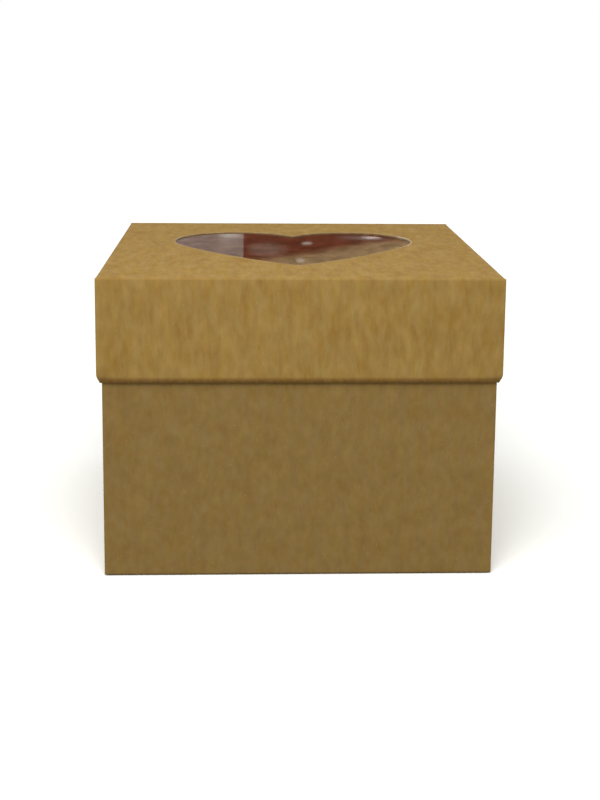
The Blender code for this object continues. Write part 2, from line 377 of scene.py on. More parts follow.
class Tray:
    """One folded blank as a single skin, built as the outer face of the board and then given its thickness.

    Points of a wall are (along, inward from the outer face, up from the panel's outer face). Each vertex
    keeps its place in the flat blank, which the fibre pattern follows across the folds, and how much of
    the worn tint it gets at its fold, which is wear and painted shade: most at a rolled rim.
    """

    def __init__(self, width, depth, height, flap_length, bow, to_world, seed):
        self.width, self.depth, self.height = width, depth, height
        self.flap_length, self.bow, self.to_world, self.seed = flap_length, bow, to_world, seed
        self.flap_top = height - RIM_HEIGHT
        self.shape = bmesh.new()
        self.blank = self.shape.verts.layers.float_vector.new("blank")
        self.fold = self.shape.verts.layers.float.new("fold")
        self.flat = self.shape.verts.layers.float.new("flat")
        self.known = {}

    def vertex(self, x, y, up, blank, fold=0.0):
        key = tuple(round(value * PLACES_PER_METRE) for value in (x, y, up))
        if key not in self.known:
            made = self.shape.verts.new(self.to_world(x, y, up))
            made[self.blank] = (*blank, 0.0)
            made[self.fold] = fold
            self.known[key] = made
        return self.known[key]

    def face(self, corners):
        corners = list(dict.fromkeys(corners))
        if len(corners) > 2 and self.shape.faces.get(corners) is None:
            self.shape.faces.new(corners)

    def rows(self):
        """(inward, up, fold) down the outer skin of a wall: crease, wall, rolled rim and lining."""
        round_crease = (CREASE_RADIUS, CREASE_RADIUS)
        crease = arc(round_crease, round_crease, 3 * QUARTER_TURN, 2 * QUARTER_TURN, CREASE_STEPS)
        roll = self.rolled_rim()
        last = len(roll) - 1
        found = [(inward, up, crease_wear_and_shade(i)) for i, (inward, up) in enumerate(crease)]
        found += [(0.0, up, 0.0) for up in spread(CREASE_RADIUS, self.flap_top, GRID)[1:]]
        found += [(0.0, self.flap_top + LAYER_GAP, 0.0)]
        # Over a rolled rim the fold weight rises to 1 half way round: wear and painted shade where the rim
        # turns under
        found += [(inward, up, math.sin(math.pi * i / last)) for i, (inward, up) in enumerate(roll)]
        found += [(WALL, up, 0.0) for up in spread(FLAP_FACE, roll[-1][1], GRID)[-2::-1]]
        return found

    def rolled_rim(self):
        """(inward, up) over the rim: the wall leans in along a wide curve, and turns round a tight tip."""
        reach = ROLL_LENGTH - ROLL_TIP_RADIUS
        tip = WALL - ROLL_TIP_RADIUS
        wide = (reach**2 + tip**2 - ROLL_TIP_RADIUS**2) / (2 * (tip - ROLL_TIP_RADIUS))
        lean = math.atan2(reach, wide - tip)
        start = 2 * QUARTER_TURN
        steps = ROLL_STEPS // 2
        curve = arc((wide, self.height - ROLL_LENGTH), (wide, wide), start, start - lean, steps)
        tight = (ROLL_TIP_RADIUS, ROLL_TIP_RADIUS)
        return curve + arc((tip, self.height - ROLL_TIP_RADIUS), tight, start - lean, 0.0, steps)[1:]

    def cut_back(self, covers, inward, up, length):
        """How far short of the tray's corner a wall ends at this point of its fold. Rims meet in a mitre."""
        if inward == WALL and up < self.height - ROLL_TIP_RADIUS:
            return WALL + LAYER_GAP if covers else WALL - BOARD
        mitre = self.tucked(length / 2, inward, up, length)
        if up <= CREASE_RADIUS:
            mitre = max(0.0, inward - BOARD)
        if covers:
            return mitre
        if up <= self.flap_top:
            return FLAP_FACE + CREASE_RADIUS
        return mitre + BOARD * (1 - mitre / WALL) + MITRE_SLIT

    def pushed(self, along, up, length, quarter):
        """How far a wall bows outward at this point, nothing at its crease, rim and ends."""
        share = max(0.0, min(1.0, (up - CREASE_RADIUS) / (self.height - ROLL_LENGTH - CREASE_RADIUS)))
        window = math.sin(math.pi * share) * max(0.0, 1 - (2 * along / length) ** 2)
        place = Vector((along, up, 0.0)) / WAVER_LENGTH + Vector((0, 0, self.seed + quarter))
        return window * (self.bow + WAVER * noise.noise(place))

    def tucked(self, along, inward, up, length):
        """Where a point of the fold lies once the rim is pressed flatter towards the tray's corners."""
        near_corner = eased(1 - (length / 2 - abs(along)) / TUCK_LENGTH)
        near_rim = eased(1 - (self.height - up) / TUCK_HEIGHT)
        return WALL - (WALL - inward) * (1 - TUCK * near_corner * near_rim)

    def add_wall(self, quarter, covers):
        length, across = (self.width, self.depth) if covers else (self.depth, self.width)
        turn = Matrix.Rotation(quarter * QUARTER_TURN, 2)
        last_even = length / 2 - EDGE_CLEARANCE
        middle = spread(-last_even, last_even, GRID)
        panel_corner = length / 2 - CREASE_RADIUS
        grid = []
        run = 0.0
        rows = self.rows()
        for r, (inward, up, fold) in enumerate(rows):
            if r:
                run += math.dist((inward, up), rows[r - 1][:2])
            end = length / 2 - self.cut_back(covers, inward, up, length)
            outer = [end]
            if covers:
                outer = [min(panel_corner, end - MITRE_SLIT), end]
            line = []
            for along in [-x for x in outer[::-1]] + middle + outer:
                behind = self.tucked(along, inward, up, length) - self.pushed(along, up, length, quarter)
                place = turn @ Vector((along, behind - across / 2))
                flat = turn @ Vector((along, CREASE_RADIUS - across / 2 - run))
                line.append(self.vertex(place.x, place.y, up, flat, fold))
            grid.append(line)
        for upper, lower in zip(grid, grid[1:]):
            for i in range(len(upper) - 1):
                self.face((upper[i], upper[i + 1], lower[i + 1], lower[i]))
        if not covers:
            for hand in (-1, 1):
                self.add_flap(turn, length, across, hand, rows, grid)

    def add_flap(self, turn, length, across, hand, rows, grid):
        """The corner flap, from the wall's upright edge round its crease and into the next wall's hollow."""
        upright = [r for r, (inward, up, _) in enumerate(rows) if inward == 0.0 and up <= self.flap_top]
        round_crease = (CREASE_RADIUS, CREASE_RADIUS)
        bend = arc(round_crease, round_crease, 2 * QUARTER_TURN, 3 * QUARTER_TURN, CREASE_STEPS)
        path = bend + [(inward, 0.0) for inward in spread(CREASE_RADIUS, self.flap_length, GRID)[1:]]
        lines = [[grid[r][-1 if hand > 0 else 0] for r in upright]]
        ups = [rows[r][1] for r in upright]
        middle_up = (ups[0] + ups[-1]) / 2
        squeeze = 1 - FLAP_TAPER / (ups[-1] - middle_up)
        bent = length / 2 - FLAP_FACE - CREASE_RADIUS
        run = 0.0
        for step, (inward, behind) in enumerate(path[1:], 1):
            run += math.dist(path[step], path[step - 1])
            taper = max(0.0, (inward - CREASE_RADIUS) / (self.flap_length - CREASE_RADIUS))
            fold = crease_wear_and_shade(step)
            line = []
            for up in ups:
                there = middle_up + (up - middle_up) * (1 - taper + taper * squeeze)
                deep = self.tucked(across / 2 - inward, FLAP_FACE + behind, there, across)
                reach = inward if inward > WALL else self.tucked(length / 2 - deep, inward, there, length)
                place = turn @ Vector((hand * (length / 2 - deep), reach - across / 2))
                flat = turn @ Vector((hand * (bent + run), CREASE_RADIUS - across / 2 - there))
                line.append(self.vertex(place.x, place.y, there, flat, fold))
            lines.append(line)
        for near, far in zip(lines, lines[1:]):
            for i in range(len(near) - 1):
                self.face((near[i], near[i + 1], far[i + 1], far[i]))

    def add_panel(self, opening=None):
        """The flat panel, meshed to meet the walls' vertices and, where it has one, the window's edge."""
        half_width, half_depth = self.width / 2 - CREASE_RADIUS, self.depth / 2 - CREASE_RADIUS
        cover_ends = self.width / 2 - EDGE_CLEARANCE
        hinge_ends = self.depth / 2 - EDGE_CLEARANCE
        flap_end = self.depth / 2 - FLAP_FACE - CREASE_RADIUS
        across = [-half_width] + spread(-cover_ends, cover_ends, GRID) + [half_width]
        down = [-half_depth, -flap_end] + spread(-hinge_ends, hinge_ends, GRID) + [flap_end, half_depth]
        border = [(x, -half_depth) for x in across[:-1]] + [(half_width, y) for y in down[:-1]]
        border += [(x, half_depth) for x in across[:0:-1]] + [(-half_width, y) for y in down[:0:-1]]
        points = list(border)
        edges = [(i, (i + 1) % len(border)) for i in range(len(border))]
        if opening:
            first = len(points)
            points += opening
            edges += [(first + i, first + (i + 1) % len(opening)) for i in range(len(opening))]
        for x in across[1:-1]:
            for y in down[2:-2]:
                near_edge = opening and min(math.dist((x, y), p) for p in opening) < GRID / 2
                if not near_edge and not (opening and inside(opening, x, y)):
                    points.append((x, y))
        made, _, faces, *_ = delaunay_2d_cdt([Vector(p) for p in points], edges, [], 0, SAME_POINT)
        verts = [self.vertex(p.x, p.y, self.sunk(p.x, p.y), (p.x, p.y)) for p in made]
        for face in faces:
            middle = sum((made[i] for i in face), Vector((0, 0))) / len(face)
            if not (opening and inside(opening, *middle)):
                self.face([verts[i] for i in face])

    def sunk(self, x, y):
        """How far the panel lies above its outer plane here: it bows a little into the tray."""
        window = max(0.0, 1 - (2 * x / (self.width - 2 * CREASE_RADIUS)) ** 2)
        window *= max(0.0, 1 - (2 * y / (self.depth - 2 * CREASE_RADIUS)) ** 2)
        place = Vector((x, y, 0.0)) / PANEL_WAVER_LENGTH + Vector((0, 0, self.seed))
        return window * (PANEL_BOW + PANEL_WAVER * noise.noise(place))

    def pieces(self, name, board, cut_edge, panel_normal):
        """The finished board, with its thickness behind the skin and a finish of its own on the cut edges,
        and a copy of the bare skin."""
        bmesh.ops.remove_doubles(self.shape, verts=self.shape.verts, dist=SAME_PLACE)
        bmesh.ops.recalc_face_normals(self.shape, faces=self.shape.faces)
        self.shape.faces.ensure_lookup_table()
        flat = max(self.shape.faces, key=lambda face: abs(face.normal.z) * face.calc_area())
        if flat.normal.dot(panel_normal) < 0:
            bmesh.ops.reverse_faces(self.shape, faces=self.shape.faces)
        for vertex in self.shape.verts:
            bent = any(edge.calc_face_angle(math.pi) > FLAT_ANGLE for edge in vertex.link_edges)
            vertex[self.flat] = 0.0 if bent else 1.0
        mesh = bpy.data.meshes.new(name)
        self.shape.to_mesh(mesh)
        self.shape.free()
        skin = mesh.copy()
        piece = new_piece(name, mesh, board, cut_edge)
        solidify = piece.modifiers.new("thickness", "SOLIDIFY")
        solidify.thickness = BOARD
        solidify.offset = -1.0
        solidify.use_even_offset = True
        solidify.use_quality_normals = True
        solidify.material_offset_rim = 1
        finished(piece)
        piece.data.shade_smooth()
        piece.data.set_sharp_from_angle(angle=SHARP_ANGLE)
        return piece, skin


def add(tree, kind, inputs=None, **settings):
    """A node in the tree. Inputs go by socket identifier, and hold a plain value or another node's output."""
    node = tree.nodes.new(kind)
    for name, value in settings.items():
        setattr(node, name, value)
    sockets = {socket.identifier: socket for socket in node.inputs}
    for name, value in (inputs or {}).items():
        if isinstance(value, bpy.types.NodeSocket):
            tree.links.new(value, sockets[name])
        else:
            sockets[name].default_value = value
    return node


def new_material(name):
    """A material with an empty node tree."""
    material = bpy.data.materials.new(name)
    material.use_nodes = True
    material.node_tree.nodes.clear()
    return material


def grain(tree, place, width, length, detail, shift):
    """Noise drawn out along the fibres: width across them and length along them, in metres."""
    stretched = add(tree, "ShaderNodeMapping", {
        "Vector": place, "Location": shift, "Scale": (1 / width, 1 / length, 1 / width),
    })
    return add(tree, "ShaderNodeTexNoise", {
        "Vector": stretched.outputs["Vector"], "Scale": 1.0, "Detail": detail, "Roughness": GRAIN_ROUGHNESS,
    }).outputs["Fac"]


def speckle(tree, place, scale, detail):
    """Noise that is alike in every direction."""
    return add(tree, "ShaderNodeTexNoise", {"Vector": place, "Scale": scale, "Detail": detail}).outputs["Fac"]


def maths(tree, operation, *values):
    names = ("Value", "Value_001", "Value_002")
    return add(tree, "ShaderNodeMath", dict(zip(names, values)), operation=operation).outputs["Value"]


def between(tree, value, low, high, to_low=0.0, to_high=1.0):
    """The value's run from low to high, eased into the run from to_low to to_high."""
    return add(tree, "ShaderNodeMapRange", {
        "Value": value, "From Min": low, "From Max": high, "To Min": to_low, "To Max": to_high,
    }, interpolation_type="SMOOTHSTEP").outputs["Result"]


def blend(tree, share, first, second):
    """A mix of two colours."""
    return add(tree, "ShaderNodeMix", {
        "Factor_Float": share, "A_Color": first, "B_Color": second,
    }, data_type="RGBA").outputs["Result"]


def times(tree, first, second):
    """Two colours multiplied."""
    return add(tree, "ShaderNodeMix", {
        "Factor_Float": 1.0, "A_Color": first, "B_Color": second,
    }, data_type="RGBA", blend_type="MULTIPLY").outputs["Result"]


def tinted(colour, tint):
    return (*(c * t for c, t in zip(colour, tint)), 1.0)


def relief(tree, strength, distance, height):
    """The surface's normal over fine bumps."""
    bumps = {"Strength": strength, "Distance": distance, "Height": height}
    return add(tree, "ShaderNodeBump", bumps).outputs["Normal"]


def kraft_board(name, colour, contrast, lengths, shift):
    """Unbleached kraft liner: fibre streaks, clouds of uneven pulp, flecks, and wear with painted shade along
    its folds.
    """
    material = new_material(name)
    tree = material.node_tree
    place = add(tree, "ShaderNodeAttribute", attribute_name="blank").outputs["Vector"]
    fold = add(tree, "ShaderNodeAttribute", attribute_name="fold").outputs["Fac"]
    place = add(tree, "ShaderNodeVectorMath", {"Vector": place, "Vector_001": shift}).outputs["Vector"]

    streaks = grain(tree, place, STREAK_WIDTH, lengths[0], STREAK_DETAIL, STREAK_PLACE)
    clouds = grain(tree, place, CLOUD_WIDTH, lengths[1], CLOUD_DETAIL, CLOUD_PLACE)
    fine = grain(tree, place, *FINE_GRAIN)
    fibres = grain(tree, place, *FIBRE_GRAIN)
    tone = NOISE_MIDDLE - contrast * sum(KRAFT_SHARES) / 2
    for layer, share in zip((streaks, clouds, fine, fibres), KRAFT_SHARES):
        tone = maths(tree, "MULTIPLY_ADD", layer, contrast * share, tone)
    pulp = blend(tree, tone, tinted(colour, [1 - swing for swing in KRAFT_SWING]),
                 tinted(colour, [1 + swing for swing in KRAFT_SWING]))
    hue = between(tree, grain(tree, place, *HUE_GRAIN), *MOTTLE_RUN)
    rust = between(tree, grain(tree, place, *RUST_GRAIN), *MOTTLE_RUN)
    shaded = times(tree, pulp, blend(tree, hue, (*KRAFT_GREY, 1.0), (*KRAFT_ORANGE, 1.0)))
    shaded = times(tree, shaded, blend(tree, rust, (*KRAFT_OLIVE, 1.0), (*KRAFT_RUST, 1.0)))

    flecks = grain(tree, place, *FLECK_GRAIN)
    dark = between(tree, flecks, *DARK_FLECK_RUN)
    pale = between(tree, flecks, *PALE_FLECK_RUN)
    flecked = blend(tree, dark, shaded, tinted(colour, DARK_FLECK_TINT))
    flecked = blend(tree, pale, flecked, tinted(colour, PALE_FLECK_TINT))
    # Wear with painted shade: the folds, the rolled rims most, darkened and reddened by the worn tint
    rubbed_and_shaded = maths(tree, "MULTIPLY", fold, between(tree, fine, *WORN_AND_SHADED_RUN))
    worn_and_shaded = blend(tree, rubbed_and_shaded, flecked, tinted(colour, WORN_AND_SHADED_TINT))

    height = maths(tree, "MULTIPLY_ADD", fine, FINE_RELIEF_SHARE, streaks)
    height = maths(tree, "MULTIPLY_ADD", fibres, FIBRE_RELIEF_SHARE, height)
    shader = add(tree, "ShaderNodeBsdfPrincipled", {
        "Base Color": worn_and_shaded,
        "Roughness": between(tree, fine, *KRAFT_ROUGHNESS_RUN),
        "Specular IOR Level": KRAFT_SPECULAR,
        "Normal": relief(tree, KRAFT_BUMP, KRAFT_RELIEF, height),
    })
    add(tree, "ShaderNodeOutputMaterial", {"Surface": shader.outputs["BSDF"]})
    return material


def cut_board(name, colour):
    """The cut edge of the board: its plies, and a paler band between two distances from the middle, most of
    all at the right side.
    """
    material = new_material(name)
    tree = material.node_tree
    place = add(tree, "ShaderNodeTexCoord").outputs["Object"]
    side = add(tree, "ShaderNodeSeparateXYZ", {"Vector": place}).outputs["X"]
    off_centre = maths(tree, "ABSOLUTE", side)
    paler = between(tree, off_centre, PALE_EDGE_START, PALE_EDGE_FULL)
    paler = maths(tree, "MULTIPLY", paler, maths(tree, "LESS_THAN", off_centre, PALE_EDGE_END))
    on_right = maths(tree, "GREATER_THAN", side, 0.0)
    paler = maths(tree, "MULTIPLY", paler, maths(tree, "MULTIPLY_ADD", on_right, 1 - PALE_EDGE_LEFT, PALE_EDGE_LEFT))
    pulp = blend(tree, paler, (*colour, 1.0), (*PALE_EDGE_COLOUR, 1.0))
    fuzz = speckle(tree, place, *CUT_FUZZ)
    plies = maths(tree, "MULTIPLY", speckle(tree, place, *CUT_PLIES), 1 - CUT_FUZZ_SHARE)
    mottle = between(tree, maths(tree, "MULTIPLY_ADD", fuzz, CUT_FUZZ_SHARE, plies), *MOTTLE_RUN)
    shader = add(tree, "ShaderNodeBsdfPrincipled", {
        "Base Color": times(tree, pulp, blend(tree, mottle, (*CUT_DARK_TINT, 1.0), (*CUT_PALE_TINT, 1.0))),
        "Roughness": CUT_ROUGHNESS,
        "Specular IOR Level": CUT_SPECULAR,
        "Normal": relief(tree, CUT_BUMP, CUT_RELIEF, fuzz),
    })
    add(tree, "ShaderNodeOutputMaterial", {"Surface": shader.outputs["BSDF"]})
    return material


def loose_fibre(name, dark, pale):
    """Single fibres pressed into the board's face, from dark bark to bleached."""
    material = new_material(name)
    tree = material.node_tree
    tone = add(tree, "ShaderNodeAttribute", attribute_name="tone").outputs["Fac"]
    shader = add(tree, "ShaderNodeBsdfPrincipled", {
        "Base Color": blend(tree, tone, (*dark, 1.0), (*pale, 1.0)),
        "Roughness": FIBRE_ROUGHNESS,
        "Specular IOR Level": FIBRE_SPECULAR,
    })
    add(tree, "ShaderNodeOutputMaterial", {"Surface": shader.outputs["BSDF"]})
    return material


def clear_sheet(name):
    """Thin clear film: nearly unseen from above, and a mirror at a low angle, shared between its two faces."""
    material = new_material(name)
    tree = material.node_tree
    place = add(tree, "ShaderNodeTexCoord").outputs["Object"]
    haze = speckle(tree, place, *FILM_HAZE)
    facing = add(tree, "ShaderNodeLayerWeight", {"Blend": 0.5}).outputs["Facing"]
    grazing = maths(tree, "POWER", facing, FRESNEL_POWER)
    both_faces = maths(tree, "MULTIPLY_ADD", grazing, FILM_GRAZING_SHARE, FILM_FACING_SHARE)
    mirrored = maths(tree, "DIVIDE", both_faces, maths(tree, "SUBTRACT", 2.0, both_faces))
    shine = add(tree, "ShaderNodeBsdfPrincipled", {
        "Base Color": (*FILM_SHINE, 1.0),
        "Metallic": 1.0,
        "Roughness": between(tree, haze, *FILM_ROUGHNESS_RUN),
    })
    clear = add(tree, "ShaderNodeBsdfTransparent", {"Color": (*FILM_CLEAR, 1.0)})
    mixed = add(tree, "ShaderNodeMixShader", {
        "Fac": mirrored, "Shader": clear.outputs["BSDF"], "Shader_001": shine.outputs["BSDF"],
    })
    add(tree, "ShaderNodeOutputMaterial", {"Surface": mixed.outputs["Shader"]})
    return material


def dried_glue(name):
    """A dried line of white craft glue, turned slightly yellow and clear at its thin places."""
    material = new_material(name)
    tree = material.node_tree
    place = add(tree, "ShaderNodeTexCoord").outputs["Object"]
    blotches = speckle(tree, place, *GLUE_BLOTCHES)
    clouded = between(tree, blotches, *GLUE_RUN)
    shader = add(tree, "ShaderNodeBsdfPrincipled", {
        "Base Color": blend(tree, clouded, (*GLUE_YELLOWED, 1.0), (*GLUE_MILKY, 1.0)),
        "Roughness": between(tree, blotches, *GLUE_ROUGHNESS_RUN),
        "Normal": relief(tree, GLUE_BUMP, GLUE_RELIEF, blotches),
    })
    add(tree, "ShaderNodeOutputMaterial", {"Surface": shader.outputs["BSDF"]})
    return material


def geometry_tree(name, **inputs):
    """A Geometry Nodes group with named inputs: (socket type, value) each. Returns it and its input node."""
    tree = bpy.data.node_groups.new(name, "GeometryNodeTree")
    tree.interface.new_socket("Geometry", in_out="INPUT", socket_type="NodeSocketGeometry")
    for label, (kind, value) in inputs.items():
        socket = tree.interface.new_socket(label.replace("_", " "), in_out="INPUT", socket_type=kind)
        socket.default_value = value
    tree.interface.new_socket("Geometry", in_out="OUTPUT", socket_type="NodeSocketGeometry")
    return tree, tree.nodes.new("NodeGroupInput").outputs


def grown(obj, tree, **values):
    """The object's mesh as the tree makes it from these inputs."""
    modifier = obj.modifiers.new("grown", "NODES")
    modifier.node_group = tree
    sockets = {item.name: item.identifier for item in tree.interface.items_tree if item.in_out == "INPUT"}
    for label, value in values.items():
        modifier[sockets[label.replace("_", " ")]] = value
    return finished(obj)


def swept_bead_tree():
    """A bead that follows a line of edges, a little uneven in its width. Its ring starts one metre across."""
    tree, given = geometry_tree(
        "swept bead",
        Width=("NodeSocketFloat", GLUE_WIDTH), Height=("NodeSocketFloat", GLUE_HEIGHT),
        Unevenness=("NodeSocketFloat", GLUE_UNEVENNESS), Lump_length=("NodeSocketFloat", GLUE_LUMP_LENGTH),
        Finish=("NodeSocketMaterial", None),
    )
    line = add(tree, "GeometryNodeMeshToCurve", {"Mesh": given["Geometry"]})
    level = add(tree, "GeometryNodeSetCurveNormal", {"Curve": line.outputs["Curve"]}, mode="Z_UP")
    ring = add(tree, "GeometryNodeCurvePrimitiveCircle", {"Resolution": BEAD_SIDES, "Radius": 0.5})
    size = add(tree, "ShaderNodeCombineXYZ", {"X": given["Width"], "Y": given["Height"], "Z": 1.0})
    section = add(tree, "GeometryNodeTransform", {
        "Geometry": ring.outputs["Curve"], "Scale": size.outputs["Vector"],
    })
    per_lump = maths(tree, "DIVIDE", 1.0, given["Lump length"])
    lumps = add(tree, "ShaderNodeTexNoise", {"Scale": per_lump, "Detail": LUMP_DETAIL})
    centred = maths(tree, "SUBTRACT", lumps.outputs["Fac"], NOISE_MIDDLE)
    scale = maths(tree, "MULTIPLY_ADD", centred, given["Unevenness"], 1.0)
    bead = add(tree, "GeometryNodeCurveToMesh", {
        "Curve": level.outputs["Curve"], "Profile Curve": section.outputs["Geometry"], "Scale": scale,
    })
    smooth = add(tree, "GeometryNodeSetShadeSmooth", {"Geometry": bead.outputs["Mesh"]})
    real = add(tree, "GeometryNodeRealizeInstances", {"Geometry": smooth.outputs["Geometry"]})
    made = add(tree, "GeometryNodeSetMaterial", {
        "Geometry": real.outputs["Geometry"], "Material": given["Finish"],
    })
    tree.links.new(made.outputs["Geometry"], tree.nodes.new("NodeGroupOutput").inputs[0])
    return tree


def pressed_fibres_tree():
    """Slivers scattered over a sheet, flat in its face and pointing every way, clear of folds and edges. Each
    starts one metre long."""
    tree, given = geometry_tree(
        "pressed fibres",
        Density=("NodeSocketFloat", FIBRE_DENSITY), Length=("NodeSocketFloat", FIBRE_LENGTH),
        Width=("NodeSocketFloat", FIBRE_WIDTH), Seed=("NodeSocketInt", LID_FIBRE_SEED),
        Finish=("NodeSocketMaterial", None),
    )
    points = add(tree, "GeometryNodeDistributePointsOnFaces", {
        "Mesh": given["Geometry"], "Density": given["Density"], "Seed": given["Seed"],
    })
    flat = add(tree, "GeometryNodeInputNamedAttribute", {"Name": "flat"}, data_type="FLOAT")
    bent = add(tree, "FunctionNodeCompare", {
        "A": flat.outputs["Attribute"], "B": FLAT_ENOUGH,
    }, data_type="FLOAT", operation="LESS_THAN").outputs["Result"]
    kept = add(tree, "GeometryNodeDeleteGeometry", {
        "Geometry": points.outputs["Points"], "Selection": bent,
    }, domain="POINT")
    size = add(tree, "ShaderNodeCombineXYZ", {
        "X": given["Length"], "Y": given["Width"],
        "Z": maths(tree, "MULTIPLY", given["Width"], FIBRE_FLATNESS),
    })
    sliver = add(tree, "GeometryNodeMeshUVSphere", {"Segments": FIBRE_SIDES, "Rings": 2, "Radius": 0.5})
    shaped = add(tree, "GeometryNodeTransform", {
        "Geometry": sliver.outputs["Mesh"], "Scale": size.outputs["Vector"],
    })
    turn = add(tree, "FunctionNodeRandomValue", {
        "Min": (0.0, 0.0, -math.pi), "Max": (0.0, 0.0, math.pi), "Seed": given["Seed"],
    }, data_type="FLOAT_VECTOR")
    lying = add(tree, "FunctionNodeRotateRotation", {
        "Rotation": points.outputs["Rotation"], "Rotate By": turn.outputs[0],
    }, rotation_space="LOCAL")
    scale = add(tree, "FunctionNodeRandomValue", {
        "Min": FIBRE_SMALLEST, "Max": FIBRE_LARGEST, "Seed": given["Seed"],
    }, data_type="FLOAT_VECTOR")
    placed = add(tree, "GeometryNodeInstanceOnPoints", {
        "Points": kept.outputs["Geometry"], "Instance": shaped.outputs["Geometry"],
        "Rotation": lying.outputs["Rotation"], "Scale": scale.outputs[0],
    })
    tone = add(tree, "FunctionNodeRandomValue", {"Seed": given["Seed"]}, data_type="FLOAT")
    toned = add(tree, "GeometryNodeStoreNamedAttribute", {
        "Geometry": placed.outputs["Instances"], "Name": "tone", "Value": tone.outputs[1],
    }, data_type="FLOAT", domain="INSTANCE")
    real = add(tree, "GeometryNodeRealizeInstances", {"Geometry": toned.outputs["Geometry"]})
    made = add(tree, "GeometryNodeSetMaterial", {
        "Geometry": real.outputs["Geometry"], "Material": given["Finish"],
    })
    tree.links.new(made.outputs["Geometry"], tree.nodes.new("NodeGroupOutput").inputs[0])
    return tree


def closed_line(name, points, height):
    """A ring of edges through (x, y) points, for a bead to follow."""
    mesh = bpy.data.meshes.new(name)
    count = len(points)
    mesh.from_pydata([(x, y, height) for x, y in points], [(i, (i + 1) % count) for i in range(count)], [])
    return new_piece(name, mesh)


def outset(points, distance):
    """A closed outline moved outwards, for points that go round it clockwise."""
    moved = []
    for before, point, after in zip(points[-1:] + points, points, points[1:] + points[:1]):
        run = (Vector(after) - Vector(before)).normalized()
        moved.append((point[0] - run.y * distance, point[1] + run.x * distance))
    return moved


def rounded_ring(low, high, radius, steps):
    """(x, y) points round a rectangle with rounded corners, every few millimetres."""
    points = []
    for corner, (x, y) in enumerate(((high.x, high.y), (low.x, high.y), (low.x, low.y), (high.x, low.y))):
        centre = (x - math.copysign(radius, x), y - math.copysign(radius, y))
        points += arc(centre, (radius, radius), corner * QUARTER_TURN, (corner + 1) * QUARTER_TURN, steps)
    ring = []
    for start, end in zip(points, points[1:] + points[:1]):
        count = max(1, round(math.dist(start, end) / GRID))
        ring += [tuple(a + (b - a) * i / count for a, b in zip(start, end)) for i in range(count)]
    return ring


def underside(lid, x, y):
    """The height of the lid panel's inner face over this place."""
    return TOP_HIGH.z - lid.sunk(-x, y) - BOARD


def hung_under(lid, piece):
    """Sinks a piece that was made against a level lid by as much as the real panel sinks over it."""
    for vertex in piece.data.vertices:
        vertex.co.z -= lid.sunk(-vertex.co.x, vertex.co.y)
    return piece


def wave(x, y, height, across, back, layer):
    """How high a sheet stands here in one of its waves."""
    return height * noise.noise(Vector((x / across, y / back, layer)))


def film_sheet(lid, finish):
    """The film: flat against its glue all round, sagging and wavy where nothing holds it."""
    low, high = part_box("window_film")
    middle, half = (low + high) / 2, (high - low) / 2
    columns, rows = spread(low.x, high.x, FILM_GRID), spread(low.y, high.y, FILM_GRID)
    points = []
    for y in rows:
        for x in columns:
            free = max(0.0, 1 - ((x - middle.x) / (half.x - GLUE_REACH)) ** 2)
            free *= max(0.0, 1 - ((y - middle.y) / (half.y - GLUE_REACH)) ** 2)
            waves = wave(x, y, *FILM_WAVE) + wave(x, y, *FILM_RIPPLE)
            drop = GLUE_HEIGHT + (FILM_SAG + waves) * min(1.0, free * FILM_SLACK)
            points.append((x, y, underside(lid, x, y) - drop))
    count = len(columns)
    faces = []
    for r in range(len(rows) - 1):
        for c in range(count - 1):
            first = r * count + c
            faces.append((first, first + 1, first + 1 + count, first + count))
    mesh = bpy.data.meshes.new("film_sheet")
    mesh.from_pydata(points, [], faces)
    mesh.shade_smooth()
    piece = new_piece("film_sheet", mesh, finish)
    solidify = piece.modifiers.new("thickness", "SOLIDIFY")
    solidify.thickness = FILM_THICKNESS
    solidify.offset = -1.0
    return finished(piece)


def with_glowing_ovals(tree, place, room, ovals):
    """The room with soft glowing ovals in it, painted highlights that light nothing, each as (x, z, half
    width, half height, colour).
    """
    for x, z, half_width, half_height, colour in ovals:
        lamp = add(tree, "ShaderNodeMapping", {
            "Vector": place, "Location": (x, ROOM_DISTANCE, z), "Scale": (half_width, 1.0, half_height),
        }, vector_type="TEXTURE").outputs["Vector"]
        reach = add(tree, "ShaderNodeVectorMath", {"Vector": lamp}, operation="LENGTH").outputs["Value"]
        room = blend(tree, between(tree, reach, OVAL_EDGE, OVAL_CORE), room, (*colour, 1.0))
    return room


def room_glow(tree, place):
    """A painted reflection of a room behind: a pale wall up to a corner, dark red furnishing, something tan
    above it, and lamps' highlights.
    """
    axes = add(tree, "ShaderNodeSeparateXYZ", {"Vector": place}).outputs
    height = maths(tree, "MULTIPLY_ADD", axes["X"], TAN_SLOPE, axes["Z"])
    tan = between(tree, height, TAN_START, TAN_FULL)
    room = blend(tree, tan, (*ROOM_RED, 1.0), (*ROOM_TAN, 1.0))
    room = blend(tree, maths(tree, "LESS_THAN", axes["X"], WALL_CORNER), room, (*ROOM_WALL, 1.0))
    room = with_glowing_ovals(tree, place, room, ROOM_PATCHES)
    stretched = add(tree, "ShaderNodeMapping", {"Vector": place, "Scale": CLUTTER_SCALE}).outputs["Vector"]
    clutter = between(tree, speckle(tree, stretched, 1.0, CLUTTER_DETAIL), *CLUTTER_RUN)
    slanted = add(tree, "ShaderNodeMapping", {
        "Vector": place, "Rotation": (0.0, SMEAR_SLANT, 0.0), "Scale": SMEAR_SCALE,
    }).outputs["Vector"]
    smears = between(tree, speckle(tree, slanted, 1.0, SMEAR_DETAIL), *SMEAR_RUN)
    level = maths(tree, "MULTIPLY", clutter, smears)
    room = add(tree, "ShaderNodeVectorMath", {"Vector": room, "Scale": level}, operation="SCALE")
    return with_glowing_ovals(tree, place, room.outputs["Vector"], ROOM_HIGHLIGHTS)


